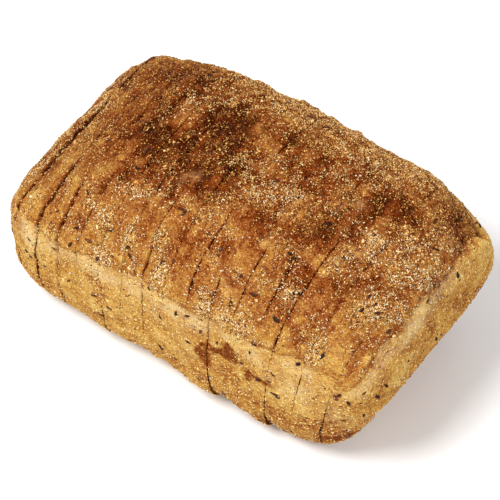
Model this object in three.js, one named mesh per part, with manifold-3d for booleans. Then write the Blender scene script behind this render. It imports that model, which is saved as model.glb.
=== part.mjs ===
// A barley and linseed tin loaf, cut right through into slices that still stand together.
// Millimetres, +Z up. X runs along the loaf, Y across it, and z = 0 is the table it rests on.
//
// The crust is one smooth form worked out from a few sizes: an upright body with a flat base,
// rounded lower edges and a widest line (the belly), and above the belly a risen crown. The
// crown is fuller at the right end (+X) and falls away sooner towards the left end (-X).
// Flat cuts across the loaf divide it into two heels and fourteen slices. The last few cuts
// at the right end lean outwards, and each slice has slid a little from its neighbours.
// Linseeds and knobs of barley grit stand out of the crust and are part of the slice
// they lie on.

import * as THREE from 'three';
import { mergeVertices } from 'three/addons/utils/BufferGeometryUtils.js';
import Module from 'manifold-3d';

// ---------------------------------------------------------------- the whole loaf
// Thickness of each piece at CUT_LEVEL, from the left heel to the right heel.
const THICKNESS = [13.6, 15.4, 12.6, 11.8, 11.8, 12, 12, 12.4, 12.2, 11.6, 11.8, 11.8, 8, 14.4, 14.4, 23];
const HALF_LENGTH = THICKNESS.reduce((sum, t) => sum + t, 0) / 2;
const HALF_WIDTH = 62.2;
const LOAF_HEIGHT = 113.5;
const BELLY_HEIGHT = 56;
const EDGE_RADIUS = 9;

// How far the base is drawn in from the belly, and how the side curves between the two.
const SIDE_INSET = 14;
const SIDE_POWER = 3.8;
const LEFT_INSET = 1;
const LEFT_POWER = 2;
const RIGHT_INSET = 20.5;
const RIGHT_POWER = 0.85;

// Superellipse powers: 2 is an ellipse and more is squarer.
const PLAN_POWER = 6.3;
const CROWN_POWER = 2.77;
const RIDGE_LEFT_POWER = 1.5;
const RIDGE_RIGHT_POWER = 3.3;

// Slow swells of the crust.
const SWELL = 0.7;
const SWELL_LENGTH = 47;
const SWELLS_AROUND = 5;

// ---------------------------------------------------------------- the cuts
const CUT_GAP = 0.5;
const CUT_LEVEL = 45;
const FIRST_LEANING_CUT = 12;
const LEAN_STEP = 0.0325;
// How far the foot of each piece has slid, + to the back, and the share of it at the crown's top.
const FOOT_SLIDE = [0, -0.5, -0.3, -0.2, 0.2, 0.8, 1.2, 0.4, -0.2, -0.7, 1.5, -0.5, -1.2, 1.4, 0.9, 1];
const CROWN_SLIDE_SHARE = 0.4;
// How much higher or lower than its neighbours each crown has risen.
const CROWN_RISE = [0, -1.2, 1, 1.4, 0.6, -1, -0.5, 1.2, -0.4, -1.6, -1, 0.2, -1.2, -0.6, 0, 0];

// ---------------------------------------------------------------- how finely it is divided
const EDGE_STEPS = 4;
const SIDE_STEPS = 3;
const ARCH_STEPS = 22;
const END_STEPS = 8;

// ---------------------------------------------------------------- what stands on the crust
const LINSEED = { length: 4.2, width: 2.1, thickness: 1.4, sides: 5, rings: 4 };
const KNOB = { length: 6.4, width: 5, thickness: 2.6, sides: 6, rings: 4 };
const SEEDS_PER_CENTIMETRE = 6;
const KNOBS_ON_A_SLICE = 1;
const SEEDS_ON_AN_END = 15;
const CLEAR_OF_CUT = 0.7;
const SIZE_SPREAD = 0.25;
// Shares of the crust that carry grains: of the way over a slice, of a heel's length along X,
// and of an end's width and height.
const BAND_FOOT_CLEAR = 0.05;
const HEEL_BAND_REACH = 0.93;
const END_FACE_WIDTH = 0.84;
const END_FACE_HEIGHT = 0.66;
const END_FOOT_CLEAR = 10;

const CRUST_TOP = { color: 0x8a4a1c, roughness: 0.72, metalness: 0 };
const CRUST_HEEL = { color: 0xb98845, roughness: 0.78, metalness: 0 };

const clamp = (value, low, high) => Math.min(Math.max(value, low), high);
const fraction = (value) => value - Math.floor(value);

// ---------------------------------------------------------------- the form of the crust

// What the rounded lower edge takes off the side at height z.
function edgeRounding(z) {
  const q = clamp(1 - z / EDGE_RADIUS, 0, 1);
  return EDGE_RADIUS * (1 - Math.sqrt(1 - q * q));
}

// Half the width at height z, from the base up to the belly.
function halfWidth(z) {
  const drop = clamp(1 - z / BELLY_HEIGHT, 0, 1);
  return HALF_WIDTH - SIDE_INSET * drop ** SIDE_POWER - edgeRounding(z);
}

// How far the body reaches along X at height z, towards the end that side names (-1 or 1).
function endReach(z, side) {
  const drop = clamp(1 - z / BELLY_HEIGHT, 0, 1);
  const inset = side > 0 ? RIGHT_INSET * drop ** RIGHT_POWER : LEFT_INSET * drop ** LEFT_POWER;
  return HALF_LENGTH - inset - edgeRounding(z);
}

// Share of the full width that is left at x, where the outline reaches as far as reach.
function planShare(x, reach) {
  const along = clamp(Math.abs(x) / reach, 0, 1);
  return (1 - along ** PLAN_POWER) ** (1 / PLAN_POWER);
}

// Height of the crown's ridge above the belly at x.
function ridgeRise(x) {
  const along = clamp(Math.abs(x) / HALF_LENGTH, 0, 1);
  const power = x > 0 ? RIDGE_RIGHT_POWER : RIDGE_LEFT_POWER;
  return (LOAF_HEIGHT - BELLY_HEIGHT) * (1 - along ** power) ** (1 / power);
}

// Point of the body's side at x and height z; hand is -1 for the front (-Y) and 1 for the back.
function sidePoint(x, z, hand) {
  const side = Math.sign(x) || 1;
  return { y: hand * halfWidth(z) * planShare(x, endReach(z, side)), z };
}

// Point of the crown at x; turn runs from 0 at the front belly to PI at the back belly.
function crownPoint(x, turn) {
  const across = Math.cos(turn);
  const share = Math.sign(across) * Math.abs(across) ** (2 / CROWN_POWER);
  const lift = Math.sin(turn) ** (2 / CROWN_POWER);
  return { y: -HALF_WIDTH * planShare(x, HALF_LENGTH) * share, z: BELLY_HEIGHT + ridgeRise(x) * lift };
}

// Slow swells push the crust out and in, away from the middle of the loaf, but not at the base.
function swell(x, point) {
  const around = Math.atan2(point.z - BELLY_HEIGHT, point.y);
  const wave = Math.sin((2 * Math.PI * x) / SWELL_LENGTH + 2 * Math.sin(around * SWELLS_AROUND));
  const push = 1 + (SWELL * wave * clamp(point.z / BELLY_HEIGHT, 0, 1)) / HALF_WIDTH;
  const aboveBelly = Math.max(0, point.z - BELLY_HEIGHT);
  return { y: point.y * push, z: point.z - aboveBelly + aboveBelly * push };
}

// Each piece has slid a little sideways, most at its foot, and has a crown of its own height.
function slip(piece, point) {
  const height = point.z / LOAF_HEIGHT;
  const slide = FOOT_SLIDE[piece] * (1 - (1 - CROWN_SLIDE_SHARE) * height);
  return { y: point.y + slide, z: point.z + CROWN_RISE[piece] * height };
}

// ---------------------------------------------------------------- cuts and outlines

// Where cut number k crosses CUT_LEVEL: the sum of the pieces before it.
const cutX = (k) => THICKNESS.slice(0, k).reduce((sum, t) => sum + t, -HALF_LENGTH);
const cutLean = (k) => LEAN_STEP * Math.max(0, k - FIRST_LEANING_CUT + 1);

// A face is the flat side of a piece: x = at + lean * (z - CUT_LEVEL).
const face = (k, side) => ({ at: cutX(k) + (side * CUT_GAP) / 2, lean: cutLean(k) });
const faceX = (plane, z) => plane.at + plane.lean * (z - CUT_LEVEL);
const blend = (a, b, share) => a + (b - a) * share;
const between = (a, b, share) => ({ at: blend(a.at, b.at, share), lean: blend(a.lean, b.lean, share) });

// Heights of the outline's points on the side: close together round the lower edge.
function sideHeights() {
  const heights = [];
  for (let i = 0; i <= EDGE_STEPS; i += 1) {
    heights.push(EDGE_RADIUS * (1 - Math.cos((i / EDGE_STEPS) * (Math.PI / 2))));
  }
  for (let i = 1; i <= SIDE_STEPS; i += 1) {
    heights.push(blend(EDGE_RADIUS, BELLY_HEIGHT, i / SIDE_STEPS));
  }
  return heights;
}

// A finished point of piece number piece on a plane: the form, its swells and its slip,
// then x from the plane, so that a cut face stays flat.
function onPlane(piece, plane, form) {
  let x = plane.at;
  let point = null;
  for (let pass = 0; pass < 3; pass += 1) {
    point = slip(piece, swell(x, form(x)));
    x = faceX(plane, point.z);
  }
  return [x, point.y, point.z];
}

// The whole outline of a piece on one plane, from the front foot over the crown to the back foot.
function outline(piece, plane) {
  const heights = sideHeights();
  const front = heights.map((z) => onPlane(piece, plane, (x) => sidePoint(x, z, -1)));
  const back = heights.map((z) => onPlane(piece, plane, (x) => sidePoint(x, z, 1))).reverse();
  const crown = [];
  for (let i = 1; i < ARCH_STEPS; i += 1) {
    crown.push(onPlane(piece, plane, (x) => crownPoint(x, (Math.PI * i) / ARCH_STEPS)));
  }
  return [...front, ...crown, ...back];
}

// ---------------------------------------------------------------- solids

// Collects triangles and gives them back as one merged geometry.
class Shell {
  constructor() {
    this.corners = [];
  }

  triangle(a, b, c) {
    this.corners.push(...a, ...b, ...c);
  }

  quad(a, b, c, d) {
    this.triangle(a, b, c);
    this.triangle(a, c, d);
  }

  // A flat face filled from its middle, seen with its points in anticlockwise order.
  fan(ring) {
    const middle = [0, 1, 2].map((axis) => ring.reduce((sum, p) => sum + p[axis], 0) / ring.length);
    ring.forEach((point, i) => this.triangle(middle, point, ring[(i + 1) % ring.length]));
  }

  geometry() {
    const loose = new THREE.BufferGeometry();
    loose.setAttribute('position', new THREE.Float32BufferAttribute(this.corners, 3));
    return mergeVertices(loose, 1e-4);
  }
}

// A slice: its outline on both cut faces and halfway between them.
function sliceGeometry(piece) {
  const near = face(piece, 1);
  const far = face(piece + 1, -1);
  const rings = [0, 0.5, 1].map((share) => outline(piece, between(near, far, share)));
  const shell = new Shell();
  for (let r = 0; r + 1 < rings.length; r += 1) {
    rings[r].forEach((point, i) => {
      const next = (i + 1) % rings[r].length;
      shell.quad(point, rings[r + 1][i], rings[r + 1][next], rings[r][next]);
    });
  }
  shell.fan(rings[0]);
  shell.fan([...rings[2]].reverse());
  return shell.geometry();
}

// A heel: below the belly its crust is rows at one height, which run from the cut round the
// end to the cut again; above it, arches stand on the belly's row and shrink to its middle.
function heelGeometry(piece) {
  const side = piece === 0 ? -1 : 1;
  const plane = side < 0 ? face(1, -1) : face(piece, 1);
  const columns = 2 * END_STEPS;
  const columnShare = (c) => 1 - Math.abs(c - END_STEPS) / END_STEPS;

  // Along a row, the plan angle runs from the cut to the tip of the end.
  const stationX = (start, reach, share) => {
    const first = Math.acos(clamp(Math.abs(start) / reach, 0, 1) ** (PLAN_POWER / 2));
    return side * reach * Math.cos(first * (1 - share)) ** (2 / PLAN_POWER);
  };
  const rowPoint = (z, c) => {
    const x = stationX(faceX(plane, z), endReach(z, side), columnShare(c));
    const tip = c === END_STEPS;
    const point = slip(piece, swell(x, tip ? { y: 0, z } : sidePoint(x, z, c < END_STEPS ? -1 : 1)));
    return [columnShare(c) === 0 ? faceX(plane, point.z) : x, point.y, point.z];
  };
  const archPoint = (c, turn) => {
    const share = columnShare(c);
    if (share === 0) return onPlane(piece, plane, (x) => crownPoint(x, turn));
    const foot = stationX(faceX(plane, BELLY_HEIGHT), HALF_LENGTH, share);
    const lean = plane.lean * (1 - share);
    const arch = { at: foot + lean * (CUT_LEVEL - BELLY_HEIGHT), lean };
    return onPlane(piece, arch, (x) => crownPoint(x, turn));
  };

  const heights = sideHeights();
  const rows = heights.map((z) => Array.from({ length: columns + 1 }, (_, c) => rowPoint(z, c)));
  const belly = rows[rows.length - 1];
  const turns = Array.from({ length: ARCH_STEPS + 1 }, (_, i) => (Math.PI * i) / ARCH_STEPS);
  const arches = Array.from({ length: END_STEPS }, (_, c) => {
    const arch = turns.map((turn) => archPoint(c, turn));
    arch[0] = belly[c];
    arch[ARCH_STEPS] = belly[columns - c];
    return arch;
  });

  const shell = new Shell();
  const put = (a, b, c, d) => (side > 0 ? shell.quad(a, b, c, d) : shell.quad(a, d, c, b));
  for (let r = 0; r + 1 < rows.length; r += 1) {
    const [low, high] = [rows[r], rows[r + 1]];
    for (let c = 0; c < columns; c += 1) put(low[c], low[c + 1], high[c + 1], high[c]);
  }
  for (let c = 0; c + 1 < END_STEPS; c += 1) {
    const [outer, inner] = [arches[c], arches[c + 1]];
    for (let i = 0; i < ARCH_STEPS; i += 1) put(outer[i], inner[i], inner[i + 1], outer[i + 1]);
  }
  const tip = belly[END_STEPS];
  const last = arches[END_STEPS - 1];
  for (let i = 0; i < ARCH_STEPS; i += 1) {
    if (side > 0) shell.triangle(last[i], tip, last[i + 1]);
    else shell.triangle(last[i], last[i + 1], tip);
  }
  const base = rows[0];
  for (let c = 0; c < END_STEPS; c += 1) {
    put(base[columns - c], base[columns - c - 1], base[c + 1], base[c]);
  }
  const frontSide = rows.map((row) => row[0]);
  const backSide = rows.map((row) => row[columns]).reverse();
  const cut = [...frontSide, ...arches[0].slice(1, -1), ...backSide];
  shell.fan(side > 0 ? cut : cut.reverse());
  return shell.geometry();
}

// ---------------------------------------------------------------- seeds and knobs

// Evenly spread pairs and single numbers from 0 to 1, the same each time.
const evenPair = (n) => [fraction(0.5 + 0.7548776662 * n), fraction(0.5 + 0.5698402910 * n)];
const evenOne = (n) => fraction(0.31 + 0.6180339887 * n);

// The place on a piece's crust a share of the way from the front foot over to the back foot.
function bandPlace(piece, plane, share) {
  const path = outline(piece, plane).map((p) => new THREE.Vector3(...p));
  const steps = path.slice(1).map((p, i) => p.distanceTo(path[i]));
  let left = share * steps.reduce((sum, step) => sum + step, 0);
  let i = 0;
  while (left > steps[i] && i + 1 < steps.length) {
    left -= steps[i];
    i += 1;
  }
  const along = path[i + 1].clone().sub(path[i]).normalize();
  const at = path[i].clone().addScaledVector(along, left);
  return { at, out: new THREE.Vector3(0, -along.z, along.y).normalize(), across: along };
}

// The place on a heel's end face at y and z, found by halving steps along X.
function endPlace(piece, y, z) {
  const side = piece === 0 ? -1 : 1;
  const inside = (x, py, pz) => {
    if (pz <= BELLY_HEIGHT) return Math.abs(py) < halfWidth(pz) * planShare(x, endReach(pz, side));
    const rise = ridgeRise(x);
    const share = Math.abs(py) / (HALF_WIDTH * planShare(x, HALF_LENGTH) + 1e-9);
    return share < 1 && pz - BELLY_HEIGHT < rise * (1 - share ** CROWN_POWER) ** (1 / CROWN_POWER);
  };
  const reach = (py, pz) => {
    let low = HALF_LENGTH - THICKNESS[piece];
    let high = HALF_LENGTH;
    for (let i = 0; i < 24; i += 1) {
      const middle = (low + high) / 2;
      if (inside(side * middle, py, pz)) low = middle;
      else high = middle;
    }
    return side * low;
  };
  const point = (py, pz) => {
    const x = reach(py, pz);
    const moved = slip(piece, swell(x, { y: py, z: pz }));
    return new THREE.Vector3(x, moved.y, moved.z);
  };
  const at = point(y, z);
  const toY = point(y + 1, z).sub(at);
  const toZ = point(y, z + 1).sub(at);
  const out = toY.cross(toZ).normalize().multiplyScalar(side);
  return { at, out, across: new THREE.Vector3(0, 0, 1).cross(out).normalize() };
}

// A flattened grain, lying on the crust at a place and turned in its plane, half sunk in.
function grain(kind, place, n) {
  const size = 1 + SIZE_SPREAD * (2 * evenOne(n) - 1);
  const shape = new THREE.SphereGeometry(0.5, kind.sides, kind.rings);
  shape.scale(kind.width * size, kind.length * size, kind.thickness);
  const across = place.across.clone().addScaledVector(place.out, -place.across.dot(place.out)).normalize();
  const frame = new THREE.Matrix4().makeBasis(across.clone().cross(place.out), across, place.out);
  frame.setPosition(place.at);
  const turn = new THREE.Matrix4().makeRotationZ(Math.PI * fraction(0.17 + 0.4142135624 * n));
  shape.applyMatrix4(turn).applyMatrix4(frame);
  shape.deleteAttribute('normal');
  shape.deleteAttribute('uv');
  return mergeVertices(shape, 1e-4);
}

// Grains on the band of crust that a slice or heel shows between its cuts, numbered from first.
function bandGrains(piece, kind, count, first, from, to) {
  const grains = [];
  const keep = (kind.length * (1 + SIZE_SPREAD)) / 2 + CLEAR_OF_CUT;
  for (let n = first; n < first + count; n += 1) {
    const [u, v] = evenPair(n);
    const middle = (from.at + to.at) / 2;
    const room = Math.max(0, (to.at - from.at) / 2 - keep);
    const plane = { at: middle + room * (2 * u - 1), lean: (from.lean + to.lean) / 2 };
    grains.push(grain(kind, bandPlace(piece, plane, BAND_FOOT_CLEAR + (1 - 2 * BAND_FOOT_CLEAR) * v), n));
  }
  return grains;
}

function endGrains(piece, count, first) {
  const grains = [];
  for (let n = first; n < first + count; n += 1) {
    const [u, v] = evenPair(n);
    const y = END_FACE_WIDTH * HALF_WIDTH * (2 * u - 1);
    const z = END_FOOT_CLEAR + (END_FACE_HEIGHT * LOAF_HEIGHT - END_FOOT_CLEAR) * v;
    grains.push(grain(LINSEED, endPlace(piece, y, z), n));
  }
  return grains;
}

// ---------------------------------------------------------------- joining and the model

const wasm = await Module();
wasm.setup();

function solid(geometry) {
  return new wasm.Manifold(new wasm.Mesh({
    numProp: 3,
    vertProperties: new Float32Array(geometry.attributes.position.array),
    triVerts: new Uint32Array(geometry.index.array),
  }));
}

function fused(body, grains) {
  const joined = grains.reduce((whole, g) => whole.add(solid(g)), solid(body)).getMesh();
  const geometry = new THREE.BufferGeometry();
  geometry.setAttribute('position', new THREE.BufferAttribute(new Float32Array(joined.vertProperties), 3));
  geometry.setIndex(new THREE.BufferAttribute(new Uint32Array(joined.triVerts), 1));
  return geometry;
}

const loaf = new THREE.Group();
const lastPiece = THICKNESS.length - 1;

function addPiece(name, geometry, look) {
  const mesh = new THREE.Mesh(geometry, new THREE.MeshStandardMaterial(look));
  mesh.name = name;
  loaf.add(mesh);
}

let grainNumber = 1;
THICKNESS.forEach((thickness, piece) => {
  const isHeel = piece === 0 || piece === lastPiece;
  const seeds = Math.round((SEEDS_PER_CENTIMETRE * thickness) / 10);
  const from = piece === 0 ? { at: -HEEL_BAND_REACH * HALF_LENGTH, lean: 0 } : face(piece, 1);
  const to = piece === lastPiece ? { at: HEEL_BAND_REACH * HALF_LENGTH, lean: 0 } : face(piece + 1, -1);
  const grains = bandGrains(piece, LINSEED, seeds, grainNumber, from, to);
  grainNumber += seeds;
  if (isHeel) {
    grains.push(...endGrains(piece, SEEDS_ON_AN_END, grainNumber));
    grainNumber += SEEDS_ON_AN_END;
    const name = piece === 0 ? 'heel_left' : 'heel_right';
    addPiece(name, fused(heelGeometry(piece), grains), CRUST_HEEL);
    return;
  }
  if (thickness > KNOB.length * (1 + SIZE_SPREAD) + 2 * CLEAR_OF_CUT) {
    grains.push(...bandGrains(piece, KNOB, KNOBS_ON_A_SLICE, grainNumber, from, to));
    grainNumber += KNOBS_ON_A_SLICE;
  }
  addPiece(`slice_${String(piece).padStart(2, '0')}`, fused(sliceGeometry(piece), grains), CRUST_TOP);
});

export default loaf;
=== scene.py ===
"""The looks of a barley and linseed tin loaf that is sliced through and stands whole.

Every piece of the loaf gets a fine crust of its own over the same form as the solids have:
a browned crown with slow dents, blisters and lifted clumps, golden sides, a pale rim where
the crown began to rise, and cut edges that open and close. Linseeds, barley grits and bran
lie on the crust as real shapes. Sizes are millimetres until a mesh is made.
"""

import itertools
import math

import bpy
import numpy as np
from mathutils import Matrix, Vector


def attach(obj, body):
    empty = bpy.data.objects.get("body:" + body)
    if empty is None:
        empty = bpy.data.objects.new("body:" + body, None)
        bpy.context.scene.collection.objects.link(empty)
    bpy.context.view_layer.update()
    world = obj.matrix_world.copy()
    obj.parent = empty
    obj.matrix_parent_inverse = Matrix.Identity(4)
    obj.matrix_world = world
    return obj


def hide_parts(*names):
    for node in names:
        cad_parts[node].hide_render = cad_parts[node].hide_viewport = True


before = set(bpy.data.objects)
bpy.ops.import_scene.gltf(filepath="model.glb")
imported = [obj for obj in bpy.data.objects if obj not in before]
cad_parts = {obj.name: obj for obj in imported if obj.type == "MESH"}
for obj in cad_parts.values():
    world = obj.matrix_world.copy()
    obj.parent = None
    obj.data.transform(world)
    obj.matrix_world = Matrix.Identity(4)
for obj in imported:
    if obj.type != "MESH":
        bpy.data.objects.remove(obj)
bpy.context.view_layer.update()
MM = 0.001

# ---------------- the form of the loaf
THICKNESS = [13.6, 15.4, 12.6, 11.8, 11.8, 12, 12, 12.4, 12.2, 11.6, 11.8, 11.8, 8, 14.4, 14.4, 23]
PIECES = len(THICKNESS)
HALF_LENGTH = sum(THICKNESS) / 2
HALF_WIDTH = 62.2
LOAF_HEIGHT = 113.5
BELLY_HEIGHT = 56
EDGE_RADIUS = 9
SIDE_INSET = 14
SIDE_POWER = 3.8
LEFT_INSET = 1
LEFT_POWER = 2
RIGHT_INSET = 20.5
RIGHT_POWER = 0.85
PLAN_POWER = 6.3
CROWN_POWER = 2.77
RIDGE_LEFT_POWER = 1.5
RIDGE_RIGHT_POWER = 3.3
SWELL = 0.7
SWELL_LENGTH = 47
SWELLS_AROUND = 5
CUT_GAP = 0.5
CUT_LEVEL = 45
FIRST_LEANING_CUT = 12
LEAN_STEP = 0.0325
FOOT_SLIDE = [0, -0.5, -0.3, -0.2, 0.2, 0.8, 1.2, 0.4, -0.2, -0.7, 1.5, -0.5, -1.2, 1.4, 0.9, 1]
CROWN_SLIDE_SHARE = 0.4
CROWN_RISE = [0, -1.2, 1, 1.4, 0.6, -1, -0.5, 1.2, -0.4, -1.6, -1, 0.2, -1.2, -0.6, 0, 0]

CROWN_EASE = 0.8
SLIDE_EASE = 0.85
EASE_LENGTH = 3.5
FAR = 1e3
TINY = 1e-9

# Where the cuts stand open: the cut's number, the stretch round the form from and to (0 the
# front foot, 1 the front belly, 1.5 the ridge, 2 the back belly) and how far.
OPEN_STRETCHES = (
    (1, 1.02, 1.46, 2.6), (1, 1.46, 1.85, 1.2), (2, 0.35, 1.0, 1.0), (2, 1.0, 1.36, 1.3),
    (3, 0.3, 1.0, 1.0), (3, 1.0, 1.3, 1.4), (4, 1.16, 1.22, 0.4), (5, 0.55, 0.79, 0.5),
    (5, 1.24, 1.32, 0.6), (6, 1.23, 1.30, 0.4), (7, 0.5, 1.01, 0.7), (7, 1.02, 1.27, 0.8),
    (8, 1.13, 1.20, 0.4), (8, 1.40, 1.46, 0.6), (9, 1.16, 1.39, 1.0), (10, 0.3, 0.84, 0.7),
    (10, 1.01, 1.09, 1.0), (10, 1.10, 1.22, 0.6), (11, 1.17, 1.25, 0.9), (11, 1.30, 1.36, 0.8),
    (12, 1.24, 1.35, 0.6), (13, 0.3, 0.91, 0.6), (13, 1.12, 1.21, 1.3), (13, 1.23, 1.45, 0.9),
    (14, 1.0, 1.1, 0.7), (14, 1.42, 1.48, 0.7), (15, 0.1, 0.7, 2.2), (15, 0.68, 1.04, 1.0),
)

# ---------------- linseeds, as in the solids
LINSEED_LENGTH = 4.2
LINSEED_WIDTH = 2.1
LINSEED_THICKNESS = 1.4
KNOB_LENGTH = 6.4
KNOB_RADIUS = 2.6
KNOB_HEIGHT = 1.2
SEEDS_PER_CENTIMETRE = 6
SEEDS_ON_AN_END = 15
CLEAR_OF_CUT = 0.7
SIZE_SPREAD = 0.25
BAND_FOOT_CLEAR = 0.05
HEEL_BAND_REACH = 0.93
END_FACE_WIDTH = 0.84
END_FACE_HEIGHT = 0.66
END_FOOT_CLEAR = 10

# ---------------- how finely the crust is made
RING_POINTS = 520
BASE_SHARE = 0.3
CRUST_STEP = 0.62
EDGE_STEPS = (0, 0.1, 0.25, 0.5, 0.9, 1.4)
HEEL_CENTRE_HEIGHT = 50
PATH_SAMPLES = 260


def smooth(low, high, value):
    """0 below low, 1 above high, and 3q^2 - 2q^3 of the way between them."""
    q = np.clip((value - low) / (high - low), 0, 1)
    return q * q * (3 - 2 * q)


# ---------------- smooth unevenness
MIXERS = (374761393, 668265263, 2147483647, 1274126177, 2246822519)
SEED_MIXER = 974711
LOW_BITS = 0xFFFFFFFF
KEPT_BITS = 0xFFFFFF
SEED_SHIFT = 17.37


def lattice(i, j, k, seed):
    """A number from -1 to 1 for each whole-numbered point, mixed from its three numbers."""
    mixed = (i * MIXERS[0] + j * MIXERS[1] + k * MIXERS[2] + seed * SEED_MIXER) & LOW_BITS
    mixed = ((mixed ^ (mixed >> 13)) * MIXERS[3]) & LOW_BITS
    mixed = ((mixed ^ (mixed >> 16)) * MIXERS[4]) & LOW_BITS
    return ((mixed ^ (mixed >> 15)) & KEPT_BITS) / (KEPT_BITS // 2) - 1.0


def uneven(points, size, seed):
    """Smooth unevenness from -1 to 1 with lumps of this size: lattice numbers at the corners
    of cubes, blended by 3q^2 - 2q^3 along each axis."""
    scaled = points / np.asarray(size, float) + seed * SEED_SHIFT
    whole = np.floor(scaled).astype(np.int64)
    q = scaled - whole
    q = q * q * (3 - 2 * q)
    shares = (1 - q, q)
    i, j, k = np.moveaxis(whole, -1, 0)
    total = 0
    for a, b, c in itertools.product((0, 1), repeat=3):
        weight = shares[a][..., 0] * shares[b][..., 1] * shares[c][..., 2]
        total = total + weight * lattice(i + a, j + b, k + c, seed)
    return total


def lumps(p, *kinds):
    """Sum of strength * unevenness over the kinds, each a strength, a size and a seed."""
    return sum(strength * uneven(p, size, seed) for strength, size, seed in kinds)


def hump(value, middle, reach):
    """e to -((value - middle) / reach)^2: 1 at the middle, falling off on both sides."""
    return np.exp(-((value - middle) / reach) ** 2)


# ---------------- the smooth form
def edge_drop(distance, radius):
    """What a rounded edge takes off near it: r(1 - sqrt(1 - q^2)), where q = 1 - d/r."""
    q = np.clip(1 - distance / radius, 0, 1)
    return radius * (1 - np.sqrt(1 - q * q))


def half_width(z):
    """Half the width at height z, drawn in below the belly by a power curve."""
    drop = np.clip(1 - z / BELLY_HEIGHT, 0, 1)
    return HALF_WIDTH - SIDE_INSET * drop ** SIDE_POWER - edge_drop(z, EDGE_RADIUS)


def end_reach(x, z):
    """How far the body reaches along X at height z, on the side where x is."""
    drop = np.clip(1 - z / BELLY_HEIGHT, 0, 1)
    inset = np.where(x > 0, RIGHT_INSET * drop ** RIGHT_POWER, LEFT_INSET * drop ** LEFT_POWER)
    return HALF_LENGTH - inset - edge_drop(z, EDGE_RADIUS)


def left_at(x, reach, power):
    """Share of the full measure left at x: (1 - |x/reach|^p)^(1/p), a superellipse."""
    along = np.clip(np.abs(x) / reach, 0, 1)
    return (1 - along ** power) ** (1 / power)


def plan_share(x, reach):
    """Share of the full width left at x, seen from above."""
    return left_at(x, reach, PLAN_POWER)


def ridge_rise(x):
    """Height of the crown's ridge above the belly, with its own power on each side."""
    power = np.where(x > 0, RIDGE_RIGHT_POWER, RIDGE_LEFT_POWER)
    return (LOAF_HEIGHT - BELLY_HEIGHT) * left_at(x, HALF_LENGTH, power)


def ring_point(x, s):
    """y and z of the form at x. s runs once round: 0 the front foot, 1 the front belly,
    2 the back belly, 3 the back foot, and back along the base to 4."""
    height = BELLY_HEIGHT * np.clip(np.where(s < 1.5, s, 3 - s), 0, 1)
    hand = np.where(s < 1.5, -1.0, 1.0)
    side_y = hand * half_width(height) * plan_share(x, end_reach(x, height))
    turn = math.pi * np.clip(s - 1, 0, 1)
    across = np.cos(turn)
    lift = np.maximum(np.sin(turn), 0) ** (2 / CROWN_POWER)
    crown_y = -HALF_WIDTH * plan_share(x, HALF_LENGTH) * np.sign(across)
    crown_y = crown_y * np.abs(across) ** (2 / CROWN_POWER)
    on_crown = (s > 1) & (s < 2)
    y = np.where(on_crown, crown_y, side_y)
    z = np.where(on_crown, BELLY_HEIGHT + ridge_rise(x) * lift, height)
    foot = half_width(np.zeros(1)) * plan_share(x, end_reach(x, np.zeros(1)))
    on_base = s > 3
    return np.where(on_base, foot * (1 - 2 * (s - 3)), y), np.where(on_base, 0.0, z)


def inside(x, y, z):
    """Whether points lie inside the form: the same two superellipses, read the other way."""
    low = (np.abs(y) < half_width(z) * plan_share(x, end_reach(x, z))) & (z >= 0)
    width = HALF_WIDTH * plan_share(x, HALF_LENGTH) + TINY
    rise = ridge_rise(x) * left_at(y, width, CROWN_POWER)
    return np.where(z <= BELLY_HEIGHT, low, (np.abs(x) < HALF_LENGTH) & (z - BELLY_HEIGHT < rise))


def swell(x, y, z):
    """Slow swells push the crust out from the belly line's height and in again."""
    around = np.arctan2(z - BELLY_HEIGHT, y)
    wave = np.sin(2 * math.pi * x / SWELL_LENGTH + 2 * np.sin(around * SWELLS_AROUND))
    push = 1 + SWELL * wave * np.clip(z / BELLY_HEIGHT, 0, 1) / HALF_WIDTH
    return y * push, np.where(z <= BELLY_HEIGHT, z, BELLY_HEIGHT + (z - BELLY_HEIGHT) * push)


def eased(values, piece, near, far, share):
    """A piece's own value, which goes this share of the way to the mean with its neighbours'
    at its cuts. near and far are the distances from the cuts before and after the piece."""
    own = values[piece]
    to_last = (values[max(piece - 1, 0)] - own) / 2 * np.exp(-near / EASE_LENGTH)
    to_next = (values[min(piece + 1, PIECES - 1)] - own) / 2 * np.exp(-far / EASE_LENGTH)
    return own + share * (to_last + to_next)


def slip(piece, y, z, near=FAR, far=FAR):
    """Each piece has slid a little sideways, most at its foot, and has a crown of its own
    height. Above the foot both ease at the cuts."""
    height = z / LOAF_HEIGHT
    slide = eased(FOOT_SLIDE, piece, near, far, SLIDE_EASE * smooth(6, 30, z))
    slide = slide * (1 - (1 - CROWN_SLIDE_SHARE) * height)
    return y + slide, z + eased(CROWN_RISE, piece, near, far, CROWN_EASE) * height


def cut_x(k):
    """Where cut k is at CUT_LEVEL: the thicknesses before it, less half the length."""
    return sum(THICKNESS[:k]) - HALF_LENGTH


def cut_lean(k):
    """How much cut k leans along X for each millimetre up, more towards the right end."""
    return LEAN_STEP * max(0, k - FIRST_LEANING_CUT + 1)


# ---------------- seeds and knobs by the rule
def even_one(n):
    """Evenly spread numbers from 0 to 1, the same as the solids' seeds use."""
    return (0.31 + 0.6180339887 * n) % 1


def even_pair(n):
    """Evenly spread pairs from 0 to 1, the same as the solids' seeds use."""
    return (0.5 + 0.7548776662 * n) % 1, (0.5 + 0.5698402910 * n) % 1


def path_length(y, z, counted=1.0):
    """Length from the first point of a path to every point, with each step counted as told."""
    return np.concatenate([[0], np.cumsum(np.hypot(np.diff(y), np.diff(z)) * counted)])


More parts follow.
